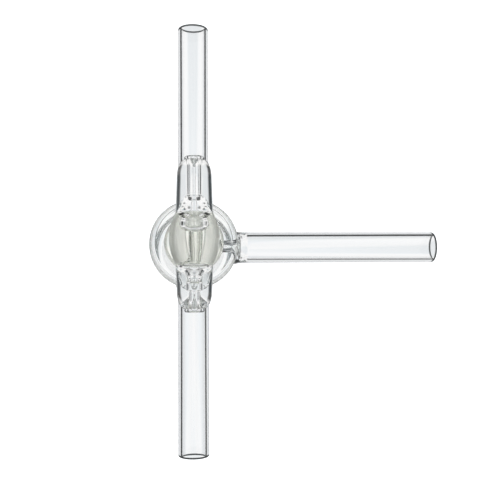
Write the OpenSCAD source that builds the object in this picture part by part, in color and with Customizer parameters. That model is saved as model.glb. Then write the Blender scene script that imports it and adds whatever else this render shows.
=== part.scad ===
// Three-way glass stopcock with a ground, tapered key.
// The barrel stands on its small end, centred on the Z axis, with the key's handle on top.
// The long run of tube lies along Y and the side tube along +X.

/* [Tubes] */
// Outer diameter of the three tubes
tube_od = 8; // [7:0.1:9]
// Wall thickness of the three tubes
tube_wall = 1; // [0.8:0.05:1.4]
// Length of the rear tube, from the barrel's axis to its open end
rear_tube_length = 59; // [35:0.5:90]
// Length of the front tube, from the barrel's axis to its open end
front_tube_length = 54; // [35:0.5:90]
// Length of the side tube, from the barrel's axis to its open end
side_tube_length = 64.5; // [35:0.5:90]
// Height of the tubes' axes above the foot
tube_height = 17.5; // [15:0.5:20]
// Radius of the fire-polished edges at each tube's open end
tube_end_round = 0.4; // [0.2:0.05:0.6]
// How far the weld where a tube meets the barrel swells beyond the tube
weld_swell = 1.4; // [0.8:0.1:1.8]
// How far the weld runs out along the tube from the barrel's wall
weld_length = 4.6; // [3:0.1:6]

/* [Barrel] */
// Height of the barrel
barrel_length = 35; // [30:0.5:45]
// Outer diameter of the barrel at its mouth
barrel_mouth_od = 21.5; // [20.5:0.1:24]
// Outer diameter of the barrel at its foot
barrel_foot_od = 19.5; // [18.5:0.1:21]
// Radius of the melted outer edges of the barrel
barrel_edge_round = 1.6; // [1:0.1:2.2]
// Width of the bevel between the barrel's bore and its end faces
bore_bevel = 0.4; // [0.2:0.05:0.8]
// Diameter of the three ports through the barrel's wall
port_diameter = 3; // [2.5:0.1:4]

/* [Key] */
// Diameter of the ground bore at the barrel's mouth
ground_diameter = 12.5; // [11.5:0.1:13.5]
// Length over which the ground bore's diameter grows by 1 mm
ground_taper = 10; // [8:0.5:14]
// Radial gap between the key and the ground bore
key_gap = 0.04; // [0.02:0.01:0.08]
// How far the key's ground cone stands out of the barrel's mouth
key_rise = 3; // [2:0.1:4]
// How far the key's tail stops short of the foot
key_recess = 1; // [0.5:0.1:3]
// Diameter of the T-shaped bore through the key
key_bore = 2.5; // [2:0.1:3]
// How far the rounded shoulder above the cone swells beyond it
shoulder_swell = 0.6; // [0.3:0.05:1]
// Radius of the shoulder's rounding
shoulder_round = 1.6; // [1.2:0.1:1.8]
// Length of the neck between the shoulder and the head
neck_length = 0.9; // [0.6:0.1:1.6]
// How much smaller in diameter the neck is than the handle's bulge
neck_waist = 1.6; // [0.8:0.1:2]

/* [Handle] */
// Height of the handle's axis above the top of the key's cone
handle_height = 7.5; // [6.6:0.1:12]
// Greatest diameter of the solid bulge between the handle's arms
head_diameter = 11.4; // [10.4:0.1:12]
// Length of the bulge along the handle
head_length = 11.6; // [10.6:0.1:13]
// How far the middle of the bulge lies to the rear of the key's axis
head_offset = 0.5; // [0:0.1:1]
// Length of the rear arm of the handle, from the key's axis
rear_arm_length = 19.1; // [16:0.1:26]
// Length of the front arm of the handle, from the key's axis
front_arm_length = 16; // [15.5:0.1:26]
// Diameter of the handle's arms where they leave the bulge
arm_root_diameter = 8.4; // [7.8:0.1:9]
// Diameter of the handle's arms where their rounded ends begin
arm_end_diameter = 7.9; // [7:0.1:8.4]
// Length of the rounded end of each handle arm
arm_nose_length = 5; // [4:0.1:6]
// Diameter of the open mouth at each end of the handle
arm_mouth_diameter = 2.7; // [2.4:0.1:3]
// Thickness of the melted lip round each mouth
arm_lip = 0.9; // [0.6:0.05:1.1]
// Diameter of the bore in the rear arm
rear_arm_bore = 2.3; // [2:0.1:2.6]
// Diameter of the bore in the front arm
front_arm_bore = 1.6; // [1.4:0.1:2]
// Diameter of the wider stretch of bore in the front arm
front_arm_chamber = 2.7; // [2.4:0.1:3.2]
// Diameter of the widest part of the blown hollow in each arm
arm_hollow_diameter = 5.7; // [5:0.1:6]
// Distance from the key's axis to the end of the hollow in the rear arm
rear_hollow_start = 1.7; // [1.2:0.1:2.2]
// Distance from the key's axis to the end of the hollow in the front arm
front_hollow_start = 4.7; // [4.2:0.1:5]

/* [Hidden] */
$fn = 96;
over = 1; // how far a cutting tool runs past the face it opens

function arc(centre, radius, from, to, steps = 6) =
    [for (i = [0:steps]) let (a = from + (to - from) * i / steps)
        centre + radius * [cos(a), sin(a)]];

// Joins [radius, distance] stations of a blown outline with S-shaped curves
function flowing(stations, steps = 5) = concat(
    [for (i = [0:len(stations) - 2]) for (k = [0:steps - 1])
        let (a = stations[i], b = stations[i + 1], t = k / steps)
        [a[0] + (b[0] - a[0]) * (1 - cos(180 * t)) / 2, a[1] + (b[1] - a[1]) * t]],
    [stations[len(stations) - 1]]);

// Radius of the ground bore, and outer radius of the barrel, at a height above the foot
function ground_radius(z) = (ground_diameter + (z - barrel_length) / ground_taper) / 2;
function barrel_radius(z) =
    (barrel_foot_od + (barrel_mouth_od - barrel_foot_od) * z / barrel_length) / 2;

// Turns a profile of [radius, distance] points about the Z axis
module turned(profile) { rotate_extrude() polygon(profile); }

// Lay something modelled along Z out to the rear, front or side at a given height
module to_rear(height) { translate([0, 0, height]) rotate([-90, 0, 0]) children(); }
module to_front(height) { translate([0, 0, height]) rotate([90, 0, 0]) children(); }
module to_side(height) { translate([0, 0, height]) rotate([0, 90, 0]) children(); }

/* Barrel */

tube_radius = tube_od / 2;
tube_bore = tube_radius - tube_wall;
end_round = min(tube_end_round, 0.45 * tube_wall);
wall_face = barrel_radius(tube_height); // distance from the axis to the barrel's outer wall
tube_root = wall_face / 2; // how deep each tube reaches into the barrel before the seat is cut
weld_root = tube_radius + weld_swell;
weld_depth = 0.3; // how far inside the barrel's wall the weld's curve begins
weld_start = sqrt(pow(wall_face, 2) - pow(weld_root, 2)) - weld_depth;
weld_end = wall_face + weld_length;
weld_curve = 3; // power of the weld's hollow curve
weld_steps = 10;
drawn_share = 0.7; // the drawn-in bore's place between the port's radius and the tube's bore
drawn_start = wall_face + 0.9; // where the port opens into the drawn-in bore
drawn_length = 1; // length over which it opens
drawn_end = wall_face + 4.4; // where the bore is back to its full width

module barrel_body() {
    r = barrel_edge_round;
    turned(concat(
        [[0, 0]],
        arc([barrel_radius(0) - r, r], r, -90, 0),
        arc([barrel_radius(barrel_length) - r, barrel_length - r], r, 0, 90),
        [[0, barrel_length]]));
}

// Outside of one tube: the weld, the straight run and the fire-polished end
module tube_outside(length) {
    turned(concat(
        [[0, tube_root], [weld_root, tube_root]],
        [for (i = [0:weld_steps]) let (t = 1 - i / weld_steps)
            [tube_radius + weld_swell * pow(t, weld_curve),
             weld_end - (weld_end - weld_start) * t]],
        arc([tube_radius - end_round, length - end_round], end_round, 0, 90, 4),
        [[0, length]]));
}

// Inside of one tube: the port through the barrel's wall, the bore drawn in by the weld,
// and the full bore
module tube_inside(length) {
    port = port_diameter / 2;
    drawn_bore = port + (tube_bore - port) * drawn_share;
    turned(concat(
        [[0, 0], [port, 0]],
        flowing([[port, drawn_start], [drawn_bore, drawn_start + drawn_length],
                 [tube_bore, drawn_end]]),
        arc([tube_bore + end_round, length - end_round], end_round, 180, 90, 4),
        [[tube_bore + end_round, length + over], [0, length + over]]));
}

// The conical seat for the key, with a bevel at each end face
module ground_seat() {
    translate([0, 0, -over])
        cylinder(r1 = ground_radius(-over), r2 = ground_radius(barrel_length + over),
                 h = barrel_length + 2 * over);
    translate([0, 0, -over])
        cylinder(r1 = ground_radius(0) + bore_bevel + over, r2 = ground_radius(0),
                 h = bore_bevel + over);
    translate([0, 0, barrel_length - bore_bevel])
        cylinder(r1 = ground_radius(barrel_length),
                 r2 = ground_radius(barrel_length) + bore_bevel + over, h = bore_bevel + over);
}

module barrel() {
    color("azure") difference() {
        union() {
            barrel_body();
            to_rear(tube_height) tube_outside(rear_tube_length);
            to_front(tube_height) tube_outside(front_tube_length);
            to_side(tube_height) tube_outside(side_tube_length);
        }
        ground_seat();
        to_rear(tube_height) tube_inside(rear_tube_length);
        to_front(tube_height) tube_inside(front_tube_length);
        to_side(tube_height) tube_inside(side_tube_length);
    }
}

/* Key */

cone_top = barrel_length + key_rise;
handle_z = cone_top + handle_height;
tail_bevel = 0.5;
shoulder_lift = 0.8 * shoulder_round; // height of the shoulder's centre above the cone
head_radius = head_diameter / 2;
stem_radius = head_radius - 0.25; // the neck widens to this before it runs into the bulge
stem_shut = 1; // how far below the handle's axis the neck ends inside the bulge
arm_root = arm_root_diameter / 2;

function key_radius(z) = ground_radius(z) - key_gap;

// The plug with its shoulder and neck
module plug() {
    sr = shoulder_round;
    shoulder = arc([key_radius(cone_top) + shoulder_swell - sr, cone_top + shoulder_lift],
                   sr, -50, 75, 8);
    neck_z = shoulder[len(shoulder) - 1][1] + neck_length;
    turned(concat(
        [[0, key_recess],
         [key_radius(key_recess) - tail_bevel, key_recess],
         [key_radius(key_recess + tail_bevel), key_recess + tail_bevel],
         [key_radius(cone_top), cone_top]],
        shoulder,
        flowing([[head_radius - neck_waist / 2, neck_z],
                 [stem_radius, handle_z - 2 * stem_shut]], 4),
        [[stem_radius, handle_z - stem_shut], [0, handle_z - stem_shut]]));
}

// The solid bulge between the arms: a long arc that runs into each arm through a small hollow curve
swell = head_radius - arm_root;
bulge_radius = (pow(head_length / 2, 2) + pow(swell, 2)) / (2 * swell);
bulge_centre = head_radius - bulge_radius;
bulge_blend = 1.5; // radius of the hollow curve
bulge_reach = sqrt(pow(bulge_radius + bulge_blend, 2)
    - pow(arm_root + bulge_blend - bulge_centre, 2));
bulge_turn = asin(bulge_reach / (bulge_radius + bulge_blend));

module bulge() {
    half = concat(
        arc([bulge_centre, 0], bulge_radius, 0, bulge_turn, 10),
        arc([arm_root + bulge_blend, bulge_reach], bulge_blend, 180 + bulge_turn, 180, 4),
        [[0, bulge_reach]]);
    turned(concat(half, [for (i = [len(half) - 1:-1:1]) [half[i][0], -half[i][1]]]));
}

// One arm of the handle, tapering to a rounded end with a melted lip round its mouth
arm_start = head_length / 2; // where the arm's taper begins
lip_radius = arm_lip / 2;
lip_centre = arm_mouth_diameter / 2 + lip_radius;

module arm_outside(length) {
    lip = arc([lip_centre, length - lip_radius], lip_radius, -45, 90);
    side = arm_end_diameter / 2 - lip[0][0];
    nose = lip[0][1] - (length - arm_nose_length);
    turned(concat(
        [[0, 0], [arm_root, 0], [arm_root, arm_start]],
        [for (a = [0:10:80]) [lip[0][0] + side * cos(a), lip[0][1] - nose * (1 - sin(a))]],
        lip,
        [[0, length]]));
}

// The hollow in one arm: a domed end next to the key's axis, blown stations, a bore and a mouth
bell = 2; // length over which the bore opens to the mouth

module arm_inside(length, start, depth, stations, bore) {
    wide = stations[0][0];
    turned(concat(
        [for (a = [0:15:75]) [wide * sin(a), start + depth * (1 - cos(a))]],
        flowing(concat([[wide, start + depth]],
                       [for (s = stations) [s[0], start + depth + s[1]]])),
        flowing([[bore, length - arm_lip - bell], [arm_mouth_diameter / 2, length - arm_lip]]),
        arc([lip_centre, length - lip_radius], lip_radius, 180, 90, 4),
        [[lip_centre, length + over], [0, length + over]]));
}

module key_bores() {
    to_rear(tube_height) cylinder(d = key_bore, h = 2 * ground_diameter, center = true);
    to_side(tube_height) cylinder(d = key_bore, h = ground_diameter);
}

// Radius of each blown station, and its distance past the hollow's domed end
rear_stations = [
    [2.3, 0.7], [2.1, 1.2], [arm_hollow_diameter / 2, 2.9], [2, 5.2], [1.65, 6.6],
    [rear_arm_bore / 2, 7.2]];
front_stations = [
    [arm_hollow_diameter / 2, 0.2], [0.9, 2.8], [front_arm_chamber / 2, 3.9],
    [front_arm_chamber / 2, 5.3], [front_arm_bore / 2, 5.7]];

module key() {
    color("honeydew") difference() {
        union() {
            plug();
            to_rear(handle_z) translate([0, 0, head_offset]) bulge();
            to_rear(handle_z) arm_outside(rear_arm_length);
            to_front(handle_z) arm_outside(front_arm_length);
        }
        key_bores();
        to_rear(handle_z)
            arm_inside(rear_arm_length, rear_hollow_start, 1.3, rear_stations, rear_arm_bore / 2);
        to_front(handle_z)
            arm_inside(front_arm_length, front_hollow_start, 1, front_stations, front_arm_bore / 2);
    }
}

barrel();
key();
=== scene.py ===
"""A three-way glass stopcock, standing on the small end of its barrel on a pale studio floor.

The barrel with its three welded tubes, and the key that turns in it, are spun from outlines and
fused with Boolean modifiers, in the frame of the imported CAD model, and each takes the place of
its CAD node. Outlines are written in millimetres and scaled by MM when they are spun.
"""

import logging
import math
from collections.abc import Sequence
from dataclasses import dataclass, field
from enum import Enum

import bmesh
import bpy
from mathutils import Matrix, Vector


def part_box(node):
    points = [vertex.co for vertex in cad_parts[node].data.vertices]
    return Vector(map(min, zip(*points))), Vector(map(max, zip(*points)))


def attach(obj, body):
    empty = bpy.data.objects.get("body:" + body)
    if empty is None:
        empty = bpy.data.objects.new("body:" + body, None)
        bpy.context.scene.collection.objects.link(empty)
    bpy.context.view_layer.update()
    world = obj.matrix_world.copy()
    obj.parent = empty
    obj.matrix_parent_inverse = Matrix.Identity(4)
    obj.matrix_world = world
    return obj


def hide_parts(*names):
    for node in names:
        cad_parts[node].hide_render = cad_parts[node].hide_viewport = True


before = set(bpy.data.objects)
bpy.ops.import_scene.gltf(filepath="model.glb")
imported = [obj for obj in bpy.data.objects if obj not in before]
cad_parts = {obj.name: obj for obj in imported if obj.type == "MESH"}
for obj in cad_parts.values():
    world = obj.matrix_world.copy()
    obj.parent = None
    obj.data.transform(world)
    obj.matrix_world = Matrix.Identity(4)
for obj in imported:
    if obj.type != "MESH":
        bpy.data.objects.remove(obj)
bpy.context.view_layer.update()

MM = 0.001
TUBE_HEIGHT = 17.5
WHITE = (1.0, 1.0, 1.0)
EVEN = (1.0, 1.0, 1.0)
LOG = logging.getLogger("stopcock")
Point = tuple[float, float]
Triple = tuple[float, float, float]
Colour = Triple


class Way(Enum):
    """The directions in which tubes, handle arms and bores leave the key's axis."""

    REAR = (0.0, 1.0, 0.0)
    FRONT = (0.0, -1.0, 0.0)
    SIDE = (1.0, 0.0, 0.0)


class Fuse(Enum):
    """What a glassworker's step does to a piece: melt more glass on, or grind and blow it away."""

    ADD = "UNION"
    CUT = "DIFFERENCE"


class BarrelSkin(Enum):
    """The material slots of the barrel."""

    BODY = 0
    DRAWN_ALONG = 1
    DRAWN_ACROSS = 2
    WELD = 3
    PORT = 4
    SEAT = 5
    LIP = 6
    FOOT = 7


class KeySkin(Enum):
    """The material slots of the key."""

    BLOWN = 0
    CONE = 1
    DRILLED = 2
    TAIL = 3


@dataclass(frozen=True)
class Taper:
    """The ground taper that the key and the barrel share. Sizes in millimetres."""

    top: float
    radius: float = 6.25
    slope: float = 0.05

    def at(self, z: float) -> float:
        """Gives the taper's radius at a height."""
        return self.radius + (z - self.top) * self.slope


# Outlines


def arc(centre: Point, radius: float, start: float, end: float, steps: int = 8) -> list[Point]:
    """Finds points along an arc of an outline.

    Args:
        centre: The arc's centre.
        radius: Its radius.
        start: The angle of its first point, in degrees.
        end: The angle of its last point, in degrees.
        steps: How many chords it has.

    Returns:
        The points, first and last included.
    """
    angles = [math.radians(start + (end - start) * i / steps) for i in range(steps + 1)]
    return [(centre[0] + radius * math.cos(a), centre[1] + radius * math.sin(a)) for a in angles]


def straight(start: Point, end: Point, pitch: float = 1.2) -> list[Point]:
    """Finds evenly spaced points between two points of an outline.

    Args:
        start: The first point.
        end: The last point.
        pitch: About how far apart the points lie.

    Returns:
        The points, first and last included.
    """
    steps = max(1, round(math.dist(start, end) / pitch))
    return [
        (start[0] + (end[0] - start[0]) * i / steps, start[1] + (end[1] - start[1]) * i / steps)
        for i in range(steps + 1)
    ]


def flowing(stations: Sequence[Point], steps: int = 9) -> list[Point]:
    """Joins the stations of a blown outline with S-shaped curves.

    Args:
        stations: Points of (radius, distance), at which the outline runs along its axis.
        steps: How many chords each curve has.

    Returns:
        The points, first and last included.
    """
    points = [
        (a[0] + (b[0] - a[0]) * (1.0 - math.cos(math.pi * k / steps)) / 2.0,
         a[1] + (b[1] - a[1]) * k / steps)
        for a, b in zip(stations, stations[1:])
        for k in range(steps)
    ]
    return [*points, stations[-1]]


# Glassworking


def spun(
    name: str,
    outline: Sequence[Point],
    skin: Enum,
    slots: int,
    way: Way | None = None,
    height: float = 0.0,
    steps: int = 128,
) -> bpy.types.Object:
    """Spins an outline of (radius, distance) points into a closed solid.

    Args:
        name: The new object's name.
        outline: The outline in millimetres, which starts and ends on the axis.
        skin: The material slot of its faces.
        slots: How many material slots the solid has.
        way: The direction of the axis, or None for straight up.
        height: The height above the floor of an axis that lies flat, in millimetres.
        steps: How many segments the full turn has.

    Returns:
        The object, at the origin, with its place in its mesh.
    """
    bm = bmesh.new()
    verts = [bm.verts.new((r * MM, 0.0, z * MM)) for r, z in outline]
    edges = [bm.edges.new(pair) for pair in zip(verts, verts[1:])]
    bmesh.ops.spin(
        bm, geom=verts + edges, axis=(0.0, 0.0, 1.0), cent=(0.0, 0.0, 0.0),
        angle=math.tau, steps=steps, use_merge=True, use_duplicate=False,
    )
    bmesh.ops.remove_doubles(bm, verts=bm.verts, dist=1e-4 * MM)
    bmesh.ops.recalc_face_normals(bm, faces=bm.faces)
    if way:
        turn = Vector((0.0, 0.0, 1.0)).rotation_difference(Vector(way.value)).to_matrix().to_4x4()
        place = Matrix.Translation((0.0, 0.0, height * MM)) @ turn
        bmesh.ops.transform(bm, matrix=place, verts=bm.verts)
    for face in bm.faces:
        face.material_index = skin.value
    mesh = bpy.data.meshes.new(name)
    bm.to_mesh(mesh)
    bm.free()
    for _ in range(slots):
        mesh.materials.append(None)
    solid = bpy.data.objects.new(name, mesh)
    bpy.context.scene.collection.objects.link(solid)
    return solid


def worked(body: bpy.types.Object, step: Fuse, solids: Sequence[bpy.types.Object]) -> None:
    """Melts solids onto a body, or cuts them out of it, and removes the solids.

    Args:
        body: The piece that is changed.
        step: Whether the solids are added or cut.
        solids: The solids.
    """
    for solid in solids:
        modifier = body.modifiers.new(solid.name, "BOOLEAN")
        modifier.operation = step.value
        modifier.solver = "EXACT"
        modifier.object = solid
    graph = bpy.context.evaluated_depsgraph_get()
    mesh = bpy.data.meshes.new_from_object(body.evaluated_get(graph))
    body.modifiers.clear()
    old = body.data
    body.data = mesh
    bpy.data.meshes.remove(old)
    for solid in solids:
        bpy.data.objects.remove(solid)


def polished(body: bpy.types.Object, degrees: float = 35.0) -> None:
    """Shades a piece smooth apart from its edges that are sharper than an angle.

    Args:
        body: The piece.
        degrees: The angle between two faces above which their edge stays sharp.
    """
    bm = bmesh.new()
    bm.from_mesh(body.data)
    for face in bm.faces:
        face.smooth = True
    for edge in bm.edges:
        sharp = edge.calc_face_angle(0.0) > math.radians(degrees)
        edge.smooth = len(edge.link_faces) == 2 and not sharp
    bm.to_mesh(body.data)
    bm.free()


# Finishes


@dataclass(frozen=True)
class Tint:
    """What a glass absorbs: a colour, and how strongly it works per metre."""

    colour: Colour
    density: float


class Nodes:
    """A node tree that is laid out from nothing, node by node."""

    def __init__(self, tree: bpy.types.NodeTree) -> None:
        """Starts with an empty tree."""
        self.tree = tree
        self.tree.nodes.clear()

    def node(
        self, kind: str, values: dict[str | int, object] | None = None, **settings: object
    ) -> bpy.types.Node:
        """Adds a node.

        Args:
            kind: The node's type.
            values: What each input holds: a socket to link from, or a plain value.
            settings: The node's own properties.

        Returns:
            The node.
        """
        made = self.tree.nodes.new(kind)
        for key, value in settings.items():
            setattr(made, key, value)
        for key, value in (values or {}).items():
            if isinstance(value, bpy.types.NodeSocket):
                self.tree.links.new(value, made.inputs[key])
            else:
                made.inputs[key].default_value = value
        return made


class Recipe(Nodes):
    """A material's nodes, laid out from a finish's figures."""

    def __init__(self, name: str) -> None:
        """Starts a material that has an output and nothing else."""
        self.material = bpy.data.materials.new(name)
        self.material.use_nodes = True
        super().__init__(self.material.node_tree)
        self.output = self.node("ShaderNodeOutputMaterial")

    def finish(self, surface: bpy.types.Node, tint: Tint | None = None) -> bpy.types.Material:
        """Links a surface to the output, with what the glass behind it absorbs.

        Args:
            surface: The node of the surface's shader.
            tint: The tint of the glass, or None for a surface with nothing behind it.

        Returns:
            The material.
        """
        self.tree.links.new(surface.outputs[0], self.output.inputs["Surface"])
        if tint:
            depth = self.node("ShaderNodeVolumeAbsorption", {
                "Color": (*tint.colour, 1.0), "Density": tint.density,
            })
            self.tree.links.new(depth.outputs[0], self.output.inputs["Volume"])
        return self.material

    def marks(self, scale: Triple, size: float, detail: float = 2.0) -> bpy.types.NodeSocket:
        """Makes noise that is stretched by its own scale along each axis of the object.

        Args:
            scale: How many times the pattern repeats per metre along x, y and z.
            size: The noise's own scale.
            detail: How many finer layers it has.

        Returns:
            The noise, from 0 to 1.
        """
        place = self.node("ShaderNodeTexCoord").outputs["Object"]
        mapped = self.node("ShaderNodeMapping", {"Vector": place, "Scale": scale})
        noise = self.node(
            "ShaderNodeTexNoise", {"Vector": mapped.outputs[0], "Scale": size, "Detail": detail}
        )
        return noise.outputs["Fac"]

    def spread(
        self, value: bpy.types.NodeSocket, source: Point, target: Point
    ) -> bpy.types.NodeSocket:
        """Maps a value from one range onto another, and holds it there.

        Args:
            value: The value.
            source: The range it comes from.
            target: The range it goes to.

        Returns:
            The mapped value.
        """
        made = self.node("ShaderNodeMapRange", {
            "Value": value, "From Min": source[0], "From Max": source[1],
            "To Min": target[0], "To Max": target[1],
        })
        return made.outputs[0]

    def bump(
        self, height: bpy.types.NodeSocket, depth: float, below: bpy.types.NodeSocket | None = None
    ) -> bpy.types.NodeSocket:
        """Turns a height into a bumped normal.

        Args:
            height: The height, from 0 to 1.
            depth: How deep the full height is, in metres.
            below: The normal of a coarser bump that this one lies on.

        Returns:
            The normal.
        """
        values = {"Height": height, "Distance": depth, "Strength": 1.0}
        if below:
            values["Normal"] = below
        return self.node("ShaderNodeBump", values).outputs["Normal"]


@dataclass(frozen=True)
class FireGlass:
    """Fire-polished glass: clear and slightly wavy, with faint cords drawn along its length."""

    name: str
    tint: Tint
    cords: Triple
    cord_depth: float = 2.2e-6
    wave_depth: float = 6.0e-6
    film: float = 0.02
    index: float = 1.474

    def material(self) -> bpy.types.Material:
        """Lays out the material.

        Returns:
            The material.
        """
        recipe = Recipe(self.name)
        waves = recipe.marks(EVEN, 140.0, 1.0)
        cords = recipe.marks(self.cords, 1.0, 2.0)
        smears = recipe.marks(EVEN, 95.0, 4.0)
        normal = recipe.bump(cords, self.cord_depth, recipe.bump(waves, self.wave_depth))
        shader = recipe.node("ShaderNodeBsdfPrincipled", {
            "Base Color": (*WHITE, 1.0), "Transmission Weight": 1.0, "IOR": self.index,
            "Roughness": recipe.spread(smears, (0.52, 0.75), (0.0, self.film)), "Normal": normal,
        })
        return recipe.finish(shader, self.tint)


@dataclass(frozen=True)
class GroundGlass:
    """Glass ground with carborundum: frosted, with fine rings left by the grinding.

    Where it faces another ground piece, a film of grease fills the gap, and lets part of the light
    through unbent: that part is its contact.
    """

    name: str
    tint: Tint
    roughness: Point
    milk: Point
    milk_colour: Colour
    contact: Point = (0.0, 0.0)
    rings: float = 2600.0
    ring_depth: float = 4.0e-6
    grit_depth: float = 3.0e-6
    index: float = 1.474

    def material(self) -> bpy.types.Material:
        """Lays out the material.

        Returns:
            The material.
        """
        recipe = Recipe(self.name)
        rings = recipe.marks((30.0, 30.0, self.rings), 1.0, 3.0)
        grit = recipe.marks(EVEN, 5200.0, 2.0)
        worn = recipe.marks((1.0, 1.0, 0.45), 170.0, 3.0)
        normal = recipe.bump(grit, self.grit_depth, recipe.bump(rings, self.ring_depth))
        shader = recipe.node("ShaderNodeBsdfPrincipled", {
            "Base Color": (*WHITE, 1.0), "Transmission Weight": 1.0, "IOR": self.index,
            "Roughness": recipe.spread(worn, (0.35, 0.7), self.roughness), "Normal": normal,
        })
        milk = recipe.node("ShaderNodeBsdfTranslucent", {"Color": (*self.milk_colour, 1.0)})
        mix = recipe.node("ShaderNodeMixShader", {
            0: recipe.spread(grit, (0.3, 0.7), self.milk), 1: shader.outputs[0], 2: milk.outputs[0],
        })
        clear = recipe.node("ShaderNodeBsdfTransparent")
        film = recipe.node("ShaderNodeMixShader", {
            0: recipe.spread(worn, (0.35, 0.7), self.contact), 1: mix.outputs[0],
            2: clear.outputs[0],
        })
        return recipe.finish(film, self.tint)


# The stopcock's two pieces

BARREL_TINT = Tint((0.80, 0.92, 0.88), 2.0)
KEY_TINT = Tint((0.89, 0.90, 0.66), 5.0)


@dataclass
class Barrel:
    """The barrel with its ground seat and the three tubes welded to it. Sizes in millimetres."""

    length: float
    taper: Taper
    runs: dict[Way, float]
    tube_height: float = TUBE_HEIGHT
    tube_radius: float = 4.0
    bore_radius: float = 3.0
    mouth_radius: float = 10.75
    foot_radius: float = 9.75
    edge_round: float = 1.6
    seat_bevel: float = 0.4
    tool_reach: float = 1.0
    end_round: float = 0.4
    tube_root: float = 5.0
    weld_swell: float = 1.4
    weld_length: float = 4.6
    weld_depth: float = 0.3
    weld_curve: float = 3.0
    weld_steps: int = 20
    port_radius: float = 1.5
    port_slack: float = 0.05
    drawn_share: float = 0.7
    drawn_from: float = 0.9
    drawn_opening: float = 1.0
    drawn_length: float = 4.4
    seam_length: float = 2.6
    foot_flat: float = 0.01
    body_glass: FireGlass = FireGlass(
        "barrel_body_glass", BARREL_TINT, cords=(260.0, 260.0, 60.0)
    )
    tube_glass: FireGlass = FireGlass(
        "drawn_tube_glass", BARREL_TINT, cords=(900.0, 22.0, 900.0)
    )
    side_glass: FireGlass = FireGlass(
        "drawn_side_tube_glass", BARREL_TINT, cords=(22.0, 900.0, 900.0)
    )
    weld_glass: FireGlass = FireGlass(
        "worked_weld_glass", BARREL_TINT, cords=(900.0, 900.0, 900.0),
        cord_depth=4.0e-5, wave_depth=2.0e-5,
    )
    port_glass: GroundGlass = GroundGlass(
        "drilled_port_glass", BARREL_TINT,
        roughness=(0.1, 0.24), milk=(0.0, 0.06), milk_colour=(0.95, 0.97, 0.95),
    )
    seat_glass: GroundGlass = GroundGlass(
        "ground_seat_glass", BARREL_TINT,
        roughness=(0.34, 0.46), milk=(0.25, 0.45), milk_colour=(0.99, 0.99, 0.94),
        contact=(0.3, 0.6),
    )
    # The lips' milk is near-black: painted shade for the dark rings at the tubes' ends, which the
    # rounded ends show by refracting the tent's dark band.
    painted_shade_lip: GroundGlass = GroundGlass(
        "lip_painted_shade_glass", BARREL_TINT,
        roughness=(0.3, 0.45), milk=(0.7, 0.9), milk_colour=(0.05, 0.06, 0.06),
    )
    foot_glass: GroundGlass = GroundGlass(
        "flat_ground_foot_glass", BARREL_TINT,
        roughness=(0.14, 0.28), milk=(0.1, 0.3), milk_colour=(0.9, 0.94, 0.95),
    )

    def outer(self, z: float) -> float:
        """Gives the outer radius of the barrel at a height."""
        return self.foot_radius + (self.mouth_radius - self.foot_radius) * z / self.length

    def body_outline(self) -> list[Point]:
        """Draws the barrel's body as a solid, with its melted edges.

        Returns:
            The outline.
        """
        r = self.edge_round
        foot, mouth = self.outer(0.0), self.outer(self.length)
        return [
            (0.0, 0.0),
            *arc((foot - r, r), r, -90.0, 0.0, 12),
            *straight((foot, r), (mouth, self.length - r))[1:-1],
            *arc((mouth - r, self.length - r), r, 0.0, 90.0, 14),
            (0.0, self.length),
        ]

    def seat_outline(self) -> list[Point]:
        """Draws the space that is ground out for the key, with a bevel at each end.

        Returns:
            The outline.
        """
        low, high, reach = self.seat_bevel, self.length - self.seat_bevel, self.tool_reach
        flare = self.seat_bevel + reach
        return [
            (0.0, -reach),
            (self.taper.at(0.0) + flare, -reach),
            *straight((self.taper.at(low), low), (self.taper.at(high), high)),
            (self.taper.at(self.length) + flare, self.length + reach),
            (0.0, self.length + reach),
        ]

    def tube_outline(self, length: float) -> list[Point]:
        """Draws the outside of one tube, with its weld and its fire-polished end.

        Args:
            length: From the key's axis to the tube's open end.

        Returns:
            The outline.
        """
        wall, root = self.outer(self.tube_height), self.tube_radius + self.weld_swell
        start, end = math.sqrt(wall ** 2 - root ** 2) - self.weld_depth, wall + self.weld_length
        shares = [1.0 - step / self.weld_steps for step in range(self.weld_steps + 1)]
        lip = (self.tube_radius - self.end_round, length - self.end_round)
        return [
            (0.0, self.tube_root),
            (root, self.tube_root),
            *((self.tube_radius + self.weld_swell * share ** self.weld_curve,
               end - (end - start) * share) for share in shares),
            *arc(lip, self.end_round, 0.0, 90.0, 6),
            (0.0, length),
        ]

    def bore_outline(self, length: float) -> list[Point]:
        """Draws the way through one tube: port, drawn-in bore, full bore and rounded lip.

        Args:
            length: From the key's axis to the tube's open end.

        Returns:
            The outline.
        """
        wall, port = self.outer(self.tube_height), self.port_radius
        opening = wall + self.drawn_from
        lip = (self.bore_radius + self.end_round, length - self.end_round)
        return [
            (0.0, 0.0),
            (port, 0.0),
            *flowing((
                (port, opening),
                (port + (self.bore_radius - port) * self.drawn_share, opening + self.drawn_opening),
                (self.bore_radius, wall + self.drawn_length),
            )),
            *arc(lip, self.end_round, 180.0, 90.0, 6),
            (lip[0], length + self.tool_reach),
            (0.0, length + self.tool_reach),
        ]

    def drawn(self, way: Way) -> BarrelSkin:
        """Gives the slot for glass that was drawn out in a direction."""
        return BarrelSkin.DRAWN_ACROSS if way is Way.SIDE else BarrelSkin.DRAWN_ALONG

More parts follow.
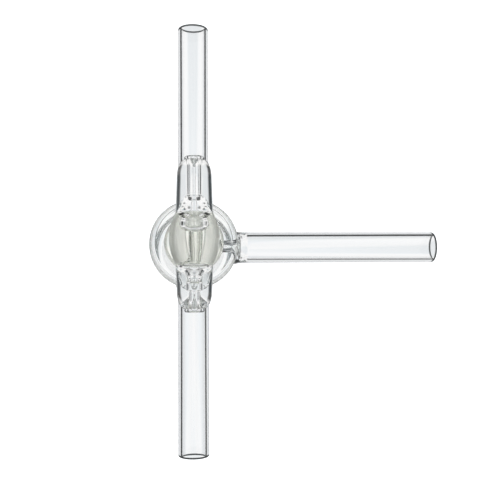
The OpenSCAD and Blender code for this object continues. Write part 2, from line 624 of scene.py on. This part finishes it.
    def build(self) -> bpy.types.Object:
        """Builds the barrel.

        Returns:
            The finished piece.
        """
        slots = len(BarrelSkin)
        piece = spun("barrel_glass", self.body_outline(), BarrelSkin.BODY, slots, steps=160)
        tubes = [
            spun(f"tube_{way.name.lower()}", self.tube_outline(length), self.drawn(way), slots,
                 way, self.tube_height, 96)
            for way, length in self.runs.items()
        ]
        worked(piece, Fuse.ADD, tubes)
        bores = [
            spun(f"bore_{way.name.lower()}", self.bore_outline(length), self.drawn(way), slots,
                 way, self.tube_height, 96)
            for way, length in self.runs.items()
        ]
        seat = spun("seat", self.seat_outline(), BarrelSkin.SEAT, slots, steps=160)
        worked(piece, Fuse.CUT, [seat, *bores])
        self.mark(piece)
        polished(piece)
        self.dress(piece)
        return piece

    def mark(self, piece: bpy.types.Object) -> None:
        """Marks the flat foot, the welds' seams, their drilled ports and the tubes' lips, whose
        glass carries painted shade.

        Args:
            piece: The barrel, with its seat and bores cut.
        """
        drawn = (BarrelSkin.DRAWN_ALONG.value, BarrelSkin.DRAWN_ACROSS.value)
        wall = self.outer(self.tube_height)
        for face in piece.data.polygons:
            x, y, z = face.center / MM
            if face.material_index == BarrelSkin.BODY.value and z < self.foot_flat:
                face.material_index = BarrelSkin.FOOT.value
            if face.material_index not in drawn:
                continue
            way = Way.SIDE if abs(x) > abs(y) else Way.REAR if y > 0.0 else Way.FRONT
            along = max(abs(x), abs(y))
            off = math.hypot(min(abs(x), abs(y)), z - self.tube_height)
            # Lip faces take the glass with the near-black milk, which is painted shade.
            if along > self.runs[way] - self.end_round:
                face.material_index = BarrelSkin.LIP.value
            elif off < self.port_radius + self.port_slack and along < wall + self.drawn_from:
                face.material_index = BarrelSkin.PORT.value
            elif along < wall + self.seam_length:
                face.material_index = BarrelSkin.WELD.value

    def dress(self, piece: bpy.types.Object) -> None:
        """Puts the eight glasses in the barrel's slots.

        Args:
            piece: The barrel, with its faces marked.
        """
        glasses = (
            self.body_glass, self.tube_glass, self.side_glass, self.weld_glass,
            self.port_glass, self.seat_glass, self.painted_shade_lip, self.foot_glass,
        )
        for skin, glass in zip(BarrelSkin, glasses):
            piece.data.materials[skin.value] = glass.material()


@dataclass
class Key:
    """The ground key with its bulged cross handle, blown hollow at both ends. In millimetres."""

    taper: Taper
    tail: float
    top: float
    arms: dict[Way, float]
    tube_height: float = TUBE_HEIGHT
    cone_top: float = 38.0
    gap: float = 0.04
    tail_bevel: float = 0.5
    tail_flat: float = 0.01
    shoulder_swell: float = 0.6
    shoulder_round: float = 1.6
    shoulder_lift: float = 1.28
    neck_length: float = 0.9
    neck_radius: float = 4.9
    stem_radius: float = 5.45
    stem_shut: float = 1.0
    bulge: float = 5.7
    bulge_length: float = 11.6
    bulge_offset: float = 0.5
    bulge_blend: float = 1.5
    arm_root: float = 4.2
    arm_end: float = 3.95
    nose: float = 5.0
    mouth: float = 1.35
    lip: float = 0.9
    bell: float = 2.0
    key_bore: float = 1.25
    bore_reach: float = 12.5
    tool_reach: float = 1.0
    hollow_start: dict[Way, float] = field(default_factory=lambda: {Way.REAR: 1.7, Way.FRONT: 4.7})
    hollow_dome: dict[Way, float] = field(default_factory=lambda: {Way.REAR: 1.3, Way.FRONT: 1.0})
    stations: dict[Way, tuple[Point, ...]] = field(default_factory=lambda: {
        Way.REAR: ((2.3, 0.7), (2.1, 1.2), (2.85, 2.9), (2.0, 5.2), (1.65, 6.6), (1.15, 7.2)),
        Way.FRONT: ((2.85, 0.2), (0.9, 2.8), (1.35, 3.9), (1.35, 5.3), (0.8, 5.7)),
    })
    handle_glass: FireGlass = FireGlass(
        "blown_key_glass", KEY_TINT, cords=(700.0, 60.0, 700.0)
    )
    cone_glass: GroundGlass = GroundGlass(
        "lapped_cone_glass", KEY_TINT,
        roughness=(0.1, 0.2), milk=(0.05, 0.15), milk_colour=(0.98, 0.98, 0.9),
        contact=(0.7, 0.9),
    )
    tail_glass: GroundGlass = GroundGlass(
        "smoothed_tail_glass", KEY_TINT,
        roughness=(0.04, 0.12), milk=(0.0, 0.03), milk_colour=(0.95, 0.97, 0.92),
    )
    bore_glass: GroundGlass = GroundGlass(
        "drilled_bore_glass", KEY_TINT,
        roughness=(0.08, 0.2), milk=(0.0, 0.12), milk_colour=(0.95, 0.97, 0.92),
    )

    @property
    def handle(self) -> float:
        """Gives the height of the handle's axis."""
        return self.top - self.bulge

    def cone(self, z: float) -> float:
        """Gives the radius of the ground cone at a height."""
        return self.taper.at(z) - self.gap

    def plug_outline(self) -> list[Point]:
        """Draws the cone, shoulder and neck.

        Returns:
            The outline.
        """
        shoulder = arc(
            (self.cone(self.cone_top) + self.shoulder_swell - self.shoulder_round,
             self.cone_top + self.shoulder_lift),
            self.shoulder_round, -50.0, 75.0, 14,
        )
        edge = self.tail + self.tail_bevel
        neck = (self.neck_radius, shoulder[-1][1] + self.neck_length)
        return [
            (0.0, self.tail),
            (self.cone(self.tail) - self.tail_bevel, self.tail),
            *straight((self.cone(edge), edge), (self.cone(self.cone_top), self.cone_top)),
            *shoulder,
            *flowing([neck, (self.stem_radius, self.handle - 2.0 * self.stem_shut)]),
            (self.stem_radius, self.handle - self.stem_shut),
            (0.0, self.handle - self.stem_shut),
        ]

    def bulge_outline(self) -> list[Point]:
        """Draws the bulge between the arms: a long arc that runs into each arm's surface.

        Returns:
            The outline, along the handle from front to rear.
        """
        swell = self.bulge - self.arm_root
        radius = ((self.bulge_length / 2.0) ** 2 + swell ** 2) / (2.0 * swell)
        centre = self.bulge - radius
        rise = self.arm_root + self.bulge_blend - centre
        reach = math.sqrt((radius + self.bulge_blend) ** 2 - rise ** 2)
        turn = math.degrees(math.atan2(reach, rise))
        half = [
            *arc((centre, 0.0), radius, 0.0, turn, 16),
            *arc((self.arm_root + self.bulge_blend, reach), self.bulge_blend,
                 180.0 + turn, 180.0, 6)[1:],
            (0.0, reach),
        ]
        rear = [(r, self.bulge_offset + y) for r, y in half]
        front = [(r, self.bulge_offset - y) for r, y in reversed(half[1:])]
        return [*front, *rear]

    def arm_outline(self, length: float) -> list[Point]:
        """Draws the outside of one arm, with its rounded end and melted lip.

        Args:
            length: From the key's axis to the end of the arm.

        Returns:
            The outline.
        """
        round_lip = arc((self.mouth + self.lip / 2.0, length - self.lip / 2.0), self.lip / 2.0,
                        -45.0, 90.0, 10)
        corner = round_lip[0]
        nose = corner[1] - (length - self.nose)
        angles = [math.radians(a) for a in range(0, 86, 5)]
        return [
            (0.0, 0.0),
            (self.arm_root, 0.0),
            (self.arm_root, self.bulge_length / 2.0),
            *[
                (corner[0] + (self.arm_end - corner[0]) * math.cos(a),
                 corner[1] - nose * (1.0 - math.sin(a)))
                for a in angles
            ],
            *round_lip,
            (0.0, length),
        ]

    def hollow_outline(self, way: Way) -> list[Point]:
        """Draws the hollow in one arm: dome, blown stations, bore, bell and mouth.

        Args:
            way: Which arm it is in.

        Returns:
            The outline.
        """
        length, start, dome = self.arms[way], self.hollow_start[way], self.hollow_dome[way]
        stations = [(r, start + dome + y) for r, y in self.stations[way]]
        wide, bore = stations[0][0], stations[-1][0]
        angles = [math.radians(a) for a in range(0, 90, 9)]
        inside = arc((self.mouth + self.lip / 2.0, length - self.lip / 2.0), self.lip / 2.0,
                     180.0, 92.0, 6)
        return [
            *[(wide * math.sin(a), start + dome * (1.0 - math.cos(a))) for a in angles],
            *flowing([(wide, start + dome), *stations]),
            *flowing([(bore, length - self.lip - self.bell), (self.mouth, length - self.lip)]),
            *inside,
            (inside[-1][0], length + self.tool_reach),
            (0.0, length + self.tool_reach),
        ]

    def bore_outline(self, start: float) -> list[Point]:
        """Draws a drilled bore.

        Args:
            start: Where it starts, measured from the key's axis.

        Returns:
            The outline.
        """
        r, end = self.key_bore, self.bore_reach
        return [(0.0, start), (r, start), (r, end), (0.0, end)]

    def build(self) -> bpy.types.Object:
        """Builds the key.

        Returns:
            The finished piece.
        """
        slots = len(KeySkin)
        piece = spun("key_glass", self.plug_outline(), KeySkin.BLOWN, slots, steps=160)
        self.grind(piece)
        bulge = spun("bulge", self.bulge_outline(), KeySkin.BLOWN, slots, Way.REAR, self.handle, 144)
        arms = [
            spun(f"arm_{way.name.lower()}", self.arm_outline(length), KeySkin.BLOWN, slots,
                 way, self.handle, 144)
            for way, length in self.arms.items()
        ]
        worked(piece, Fuse.ADD, [bulge, *arms])
        hollows = [
            spun(f"hollow_{way.name.lower()}", self.hollow_outline(way), KeySkin.BLOWN, slots,
                 way, self.handle, 128)
            for way in self.arms
        ]
        through = spun("through_bore", self.bore_outline(-self.bore_reach), KeySkin.DRILLED, slots,
                       Way.REAR, self.tube_height, 64)
        branch = spun("branch_bore", self.bore_outline(0.0), KeySkin.DRILLED, slots,
                      Way.SIDE, self.tube_height, 64)
        worked(piece, Fuse.CUT, [*hollows, through, branch])
        polished(piece)
        self.dress(piece)
        return piece

    def grind(self, piece: bpy.types.Object) -> None:
        """Marks the faces of the cone as lapped and the tail as smoothed.

        Args:
            piece: The plug, before the handle is melted onto it.
        """
        for face in piece.data.polygons:
            if face.center.z < self.cone_top * MM:
                is_tail = face.center.z < (self.tail + self.tail_flat) * MM
                face.material_index = (KeySkin.TAIL if is_tail else KeySkin.CONE).value

    def dress(self, piece: bpy.types.Object) -> None:
        """Puts the four glasses in the key's slots.

        Args:
            piece: The key, with its faces marked.
        """
        glasses = (self.handle_glass, self.cone_glass, self.bore_glass, self.tail_glass)
        for skin, glass in zip(KeySkin, glasses):
            piece.data.materials[skin.value] = glass.material()


# The studio


@dataclass
class Studio:
    """A pale floor in a light tent: white below, pale at eye level, and a dark band between.

    The tent's levels are pairs of (degrees off straight down, brightness). Light that bounces off
    the outside of glass sees the tent dimmed by gloss.
    """

    floor_half: float = 1.5
    floor_colour: float = 0.8
    floor_glow: float = 0.72
    tent: tuple[Point, ...] = (
        (0.0, 1.0), (6.0, 0.98), (11.0, 0.91), (18.0, 0.86), (35.0, 0.84), (38.0, 0.5),
        (41.0, 0.16), (44.0, 0.05), (48.0, 0.02), (62.0, 0.02), (68.0, 0.5), (74.0, 0.85),
        (100.0, 0.9), (120.0, 0.9), (150.0, 0.6), (180.0, 0.6),
    )
    cool: Colour = (0.955, 0.982, 1.0)
    sky: Colour = (0.75, 0.9, 1.0)
    sky_from: float = 100.0
    lean: Triple = (0.08, -0.25, 0.0)
    flag_edges: Point = (0.28, 0.46)
    gloss: float = 0.25

    def build(self) -> None:
        """Lays the floor and hangs the tent."""
        self.lay_floor()
        self.hang_tent()

    def lay_floor(self) -> None:
        """Lays the floor, which glass and gloss see through to the tent below it."""
        bm = bmesh.new()
        bmesh.ops.create_grid(bm, x_segments=2, y_segments=2, size=self.floor_half)
        mesh = bpy.data.meshes.new("floor")
        bm.to_mesh(mesh)
        bm.free()
        floor = bpy.data.objects.new("floor", mesh)
        bpy.context.scene.collection.objects.link(floor)
        recipe = Recipe("pale_floor")
        paint = recipe.node("ShaderNodeBsdfDiffuse", {"Color": (*[self.floor_colour] * 3, 1.0)})
        glow = recipe.node("ShaderNodeEmission", {"Strength": self.floor_glow})
        lit = recipe.node("ShaderNodeAddShader", {0: paint.outputs[0], 1: glow.outputs[0]})
        path = recipe.node("ShaderNodeLightPath")
        plain = recipe.node("ShaderNodeMixShader", {
            0: path.outputs["Is Camera Ray"], 1: paint.outputs[0], 2: lit.outputs[0],
        })
        through = recipe.node("ShaderNodeMath", {
            0: path.outputs["Is Transmission Ray"], 1: path.outputs["Is Glossy Ray"],
        }, operation="MAXIMUM")
        clear = recipe.node("ShaderNodeBsdfTransparent")
        whole = recipe.node("ShaderNodeMixShader", {
            0: through.outputs[0], 1: plain.outputs[0], 2: clear.outputs[0],
        })
        mesh.materials.append(recipe.finish(whole))

    def hang_tent(self) -> None:
        """Hangs the tent: a world that is white to the camera and graded by direction to glass."""
        world = bpy.data.worlds.new("tent")
        bpy.context.scene.world = world
        world.use_nodes = True
        nodes = Nodes(world.node_tree)
        place = nodes.node("ShaderNodeTexCoord").outputs["Generated"]
        graded = self.graded(nodes, place)
        path = nodes.node("ShaderNodeLightPath").outputs
        outside = nodes.node("ShaderNodeMath", {
            0: path["Is Glossy Ray"], 1: path["Is Transmission Ray"],
        }, operation="SUBTRACT", use_clamp=True)
        full = nodes.node("ShaderNodeBackground", {"Color": graded})
        dim = nodes.node("ShaderNodeBackground", {"Color": graded, "Strength": self.gloss})
        white = nodes.node("ShaderNodeBackground", {"Color": (*WHITE, 1.0)})
        bounced = nodes.node("ShaderNodeMixShader", {
            0: outside.outputs[0], 1: full.outputs[0], 2: dim.outputs[0],
        })
        seen = nodes.node("ShaderNodeMixShader", {
            0: path["Is Camera Ray"], 1: bounced.outputs[0], 2: white.outputs[0],
        })
        nodes.node("ShaderNodeOutputWorld", {0: seen.outputs[0]})

    def graded(self, nodes: Nodes, place: bpy.types.NodeSocket) -> bpy.types.NodeSocket:
        """Grades the tent by height, and opens its dark band toward the four diagonals.

        Args:
            nodes: The world's nodes.
            place: The direction that is looked in.

        Returns:
            The tent's colour in that direction.
        """
        split = nodes.node("ShaderNodeSeparateXYZ", {0: place}).outputs
        height = nodes.node("ShaderNodeMapRange", {"Value": split["Z"], "From Min": -1.0})
        ramp = nodes.node("ShaderNodeValToRGB", {0: height.outputs[0]})
        self.grade(ramp.color_ramp)
        both = nodes.node("ShaderNodeMath", {0: split["X"], 1: split["Y"]}, operation="MULTIPLY")
        level = nodes.node("ShaderNodeVectorMath", {
            0: place, 1: (1.0, 1.0, 0.0),
        }, operation="MULTIPLY")
        square = nodes.node("ShaderNodeVectorMath", {
            0: level.outputs[0], 1: level.outputs[0],
        }, operation="DOT_PRODUCT")
        turn = nodes.node("ShaderNodeMath", {
            0: both.outputs[0], 1: square.outputs["Value"],
        }, operation="DIVIDE")
        either = nodes.node("ShaderNodeMath", {0: turn.outputs[0]}, operation="ABSOLUTE")
        between = nodes.node("ShaderNodeMapRange", {
            "Value": either.outputs[0],
            "From Min": self.flag_edges[0], "From Max": self.flag_edges[1],
        }, interpolation_type="SMOOTHSTEP")
        lean = nodes.node("ShaderNodeVectorMath", {
            0: place, 1: self.lean,
        }, operation="DOT_PRODUCT")
        most = nodes.node("ShaderNodeMath", {
            0: lean.outputs["Value"], 1: between.outputs[0],
        }, operation="MAXIMUM", use_clamp=True)
        lifted = nodes.node("ShaderNodeMixRGB", {
            "Fac": most.outputs[0], "Color1": ramp.outputs[0], "Color2": (*WHITE, 1.0),
        })
        return lifted.outputs[0]

    def grade(self, ramp: bpy.types.ColorRamp) -> None:
        """Sets a colour ramp's stops from the tent's levels.

        Args:
            ramp: The ramp, which is read by half the upward part of the direction plus a half.
        """
        while len(ramp.elements) < len(self.tent):
            ramp.elements.new(0.5)
        for element, (angle, level) in zip(ramp.elements, self.tent):
            element.position = (1.0 - math.cos(math.radians(angle))) / 2.0
            tone = self.sky if angle > self.sky_from else self.cool if angle > 0.0 else WHITE
            element.color = (*[level * part for part in tone], 1.0)


@dataclass
class Camera:
    """The camera, which looks down the key's axis from a little to the front. Sizes in metres."""

    place: Triple = (-0.00137, -0.0105, 0.2036)
    tilt: Triple = (-3.85, 4.2, 0.1)
    sensor: float = 36.0
    focal: float = 52.875
    near: float = 0.01

    def build(self) -> None:
        """Sets up the camera and hands it to the scene."""
        camera = bpy.data.cameras.new("camera")
        camera.sensor_width = self.sensor
        camera.lens = self.focal
        camera.clip_start = self.near
        eye = bpy.data.objects.new("camera", camera)
        bpy.context.scene.collection.objects.link(eye)
        x, y, z = (math.radians(a) for a in self.tilt)
        turn = Matrix.Rotation(z, 4, "Z") @ Matrix.Rotation(y, 4, "Y") @ Matrix.Rotation(x, 4, "X")
        eye.matrix_world = Matrix.Translation(self.place) @ turn.inverted()
        bpy.context.scene.camera = eye


def main() -> None:
    """Builds the barrel, the key, the studio and the camera, and reports each piece."""
    logging.basicConfig(level=logging.INFO, format="%(name)s: %(message)s")
    low, high = (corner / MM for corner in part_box("barrel"))
    key_low, key_high = (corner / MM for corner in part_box("key"))
    taper = Taper(high.z)
    barrel = Barrel(
        length=high.z, taper=taper,
        runs={Way.REAR: high.y, Way.FRONT: -low.y, Way.SIDE: high.x},
    )
    key = Key(
        taper=taper, tail=key_low.z, top=key_high.z,
        arms={Way.REAR: key_high.y, Way.FRONT: -key_low.y},
    )
    for part, body in ((barrel, "barrel"), (key, "key")):
        piece = part.build()
        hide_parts(body)
        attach(piece, body)
        LOG.info("%s: %d faces", piece.name, len(piece.data.polygons))
    Studio().build()
    Camera().build()
    bpy.context.scene.view_settings.view_transform = "Standard"


if __name__ == "__main__":
    main()
